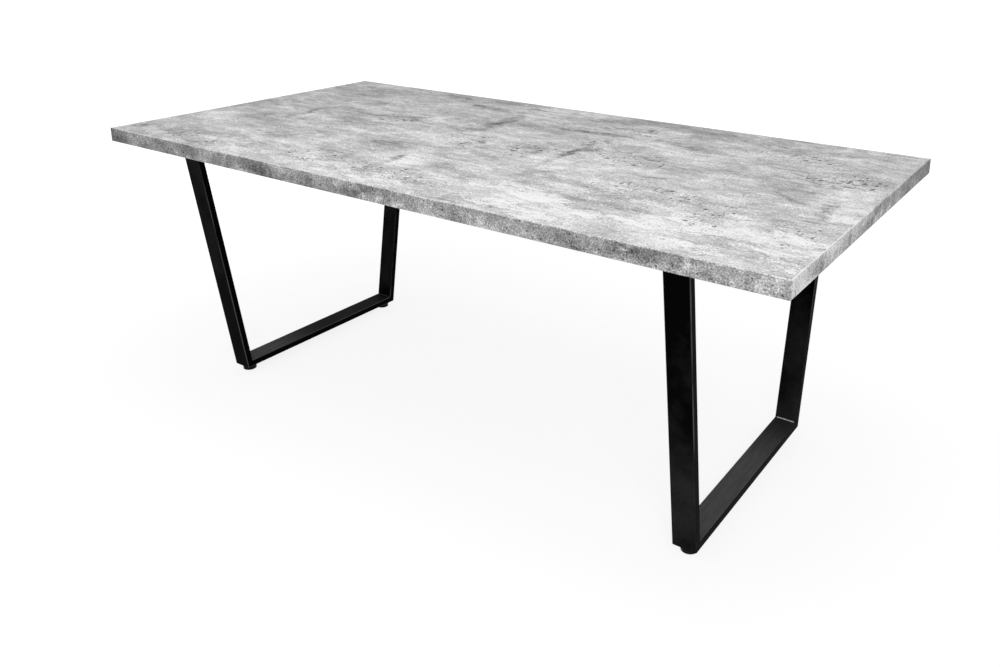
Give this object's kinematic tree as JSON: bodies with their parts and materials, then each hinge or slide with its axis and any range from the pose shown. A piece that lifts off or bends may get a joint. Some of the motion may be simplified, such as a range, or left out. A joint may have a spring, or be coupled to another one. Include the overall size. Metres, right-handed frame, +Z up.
{
  "type": "extendable dining table",
  "caption": "Rectangular dining table with a concrete-look one-piece top on trapezoid black steel tube frames, levelling feet and pull-out bearers for end leaves.",
  "frame": {"origin": "on the floor under the middle of the top", "axes": "+X along the length to the right, +Y to the back, +Z up"},
  "size_m": [2, 1, 0.765],
  "materials": {
    "concrete_board": "matt melamine concrete decor on particle board",
    "concrete_edge": "matt printed edge band",
    "black_steel": "satin black powder coat",
    "zinc_steel": "bright zinc plating",
    "foot_plastic": "moulded, semi-gloss",
    "black_plastic": "moulded, matt"
  },
  "bodies": {
    "table": {"top_board": "concrete_board", "front_edge_band": "concrete_edge", "back_edge_band": "concrete_edge", "left_edge_band": "concrete_edge", "left_floor_rail": "black_steel", "left_leg_bolts": "zinc_steel", "left_threaded_inserts": "zinc_steel", "left_foot_nuts": "zinc_steel", "left_guide_screws": "zinc_steel", "left_front_post": "black_steel", "left_front_leg_plate": "black_steel", "left_front_outer_guide": "black_steel", "left_front_inner_guide": "black_steel", "left_back_post": "black_steel", "left_back_leg_plate": "black_steel", "left_back_outer_guide": "black_steel", "left_back_inner_guide": "black_steel", "right_edge_band": "concrete_edge", "right_floor_rail": "black_steel", "right_leg_bolts": "zinc_steel", "right_threaded_inserts": "zinc_steel", "right_foot_nuts": "zinc_steel", "right_guide_screws": "zinc_steel", "right_front_post": "black_steel", "right_front_leg_plate": "black_steel", "right_front_outer_guide": "black_steel", "right_front_inner_guide": "black_steel", "right_back_post": "black_steel", "right_back_leg_plate": "black_steel", "right_back_outer_guide": "black_steel", "right_back_inner_guide": "black_steel"},
    "left_front_foot": {"left_front_foot_pad": "foot_plastic"},
    "left_front_stud": {"left_front_foot_stud": "zinc_steel"},
    "left_back_foot": {"left_back_foot_pad": "foot_plastic"},
    "left_back_stud": {"left_back_foot_stud": "zinc_steel"},
    "left_bearer": {"left_crossbar": "black_steel", "left_crossbar_caps": "black_plastic", "left_front_bearer_arm": "black_steel", "left_front_arm_stop": "black_plastic", "left_back_bearer_arm": "black_steel", "left_back_arm_stop": "black_plastic"},
    "right_front_foot": {"right_front_foot_pad": "foot_plastic"},
    "right_front_stud": {"right_front_foot_stud": "zinc_steel"},
    "right_back_foot": {"right_back_foot_pad": "foot_plastic"},
    "right_back_stud": {"right_back_foot_stud": "zinc_steel"},
    "right_bearer": {"right_crossbar": "black_steel", "right_crossbar_caps": "black_plastic", "right_front_bearer_arm": "black_steel", "right_front_arm_stop": "black_plastic", "right_back_bearer_arm": "black_steel", "right_back_arm_stop": "black_plastic"}
  },
  "joints": [
    {"name": "left_bearer_slide", "type": "slide", "parent": "table", "child": "left_bearer", "axis": [-1, 0, 0], "range_m": [0, 0.35]},
    {"name": "right_bearer_slide", "type": "slide", "parent": "table", "child": "right_bearer", "axis": [1, 0, 0], "range_m": [0, 0.35]},
    {"name": "left_front_foot_height", "type": "slide", "parent": "table", "child": "left_front_foot", "axis": [0, 0, -1], "range_m": [0, 0.008]},
    {"name": "left_front_foot_turn", "type": "hinge", "parent": "left_front_foot", "child": "left_front_stud", "pos_m": [-0.75, -0.29, 0], "axis": [0, 0, -1], "range_deg": [0, 2306]},
    {"name": "left_back_foot_height", "type": "slide", "parent": "table", "child": "left_back_foot", "axis": [0, 0, -1], "range_m": [0, 0.008]},
    {"name": "left_back_foot_turn", "type": "hinge", "parent": "left_back_foot", "child": "left_back_stud", "pos_m": [-0.75, 0.29, 0], "axis": [0, 0, -1], "range_deg": [0, 2306]},
    {"name": "right_front_foot_height", "type": "slide", "parent": "table", "child": "right_front_foot", "axis": [0, 0, -1], "range_m": [0, 0.008]},
    {"name": "right_front_foot_turn", "type": "hinge", "parent": "right_front_foot", "child": "right_front_stud", "pos_m": [0.75, -0.29, 0], "axis": [0, 0, -1], "range_deg": [0, 2306]},
    {"name": "right_back_foot_height", "type": "slide", "parent": "table", "child": "right_back_foot", "axis": [0, 0, -1], "range_m": [0, 0.008]},
    {"name": "right_back_foot_turn", "type": "hinge", "parent": "right_back_foot", "child": "right_back_stud", "pos_m": [0.75, 0.29, 0], "axis": [0, 0, -1], "range_deg": [0, 2306]}
  ],
  "couplings": [
    {"joint": "left_front_foot_turn", "follows": "left_front_foot_height", "rad_per_m": 5026.5},
    {"joint": "left_back_foot_turn", "follows": "left_back_foot_height", "rad_per_m": 5026.5},
    {"joint": "right_front_foot_turn", "follows": "right_front_foot_height", "rad_per_m": 5026.5},
    {"joint": "right_back_foot_turn", "follows": "right_back_foot_height", "rad_per_m": 5026.5}
  ]
}
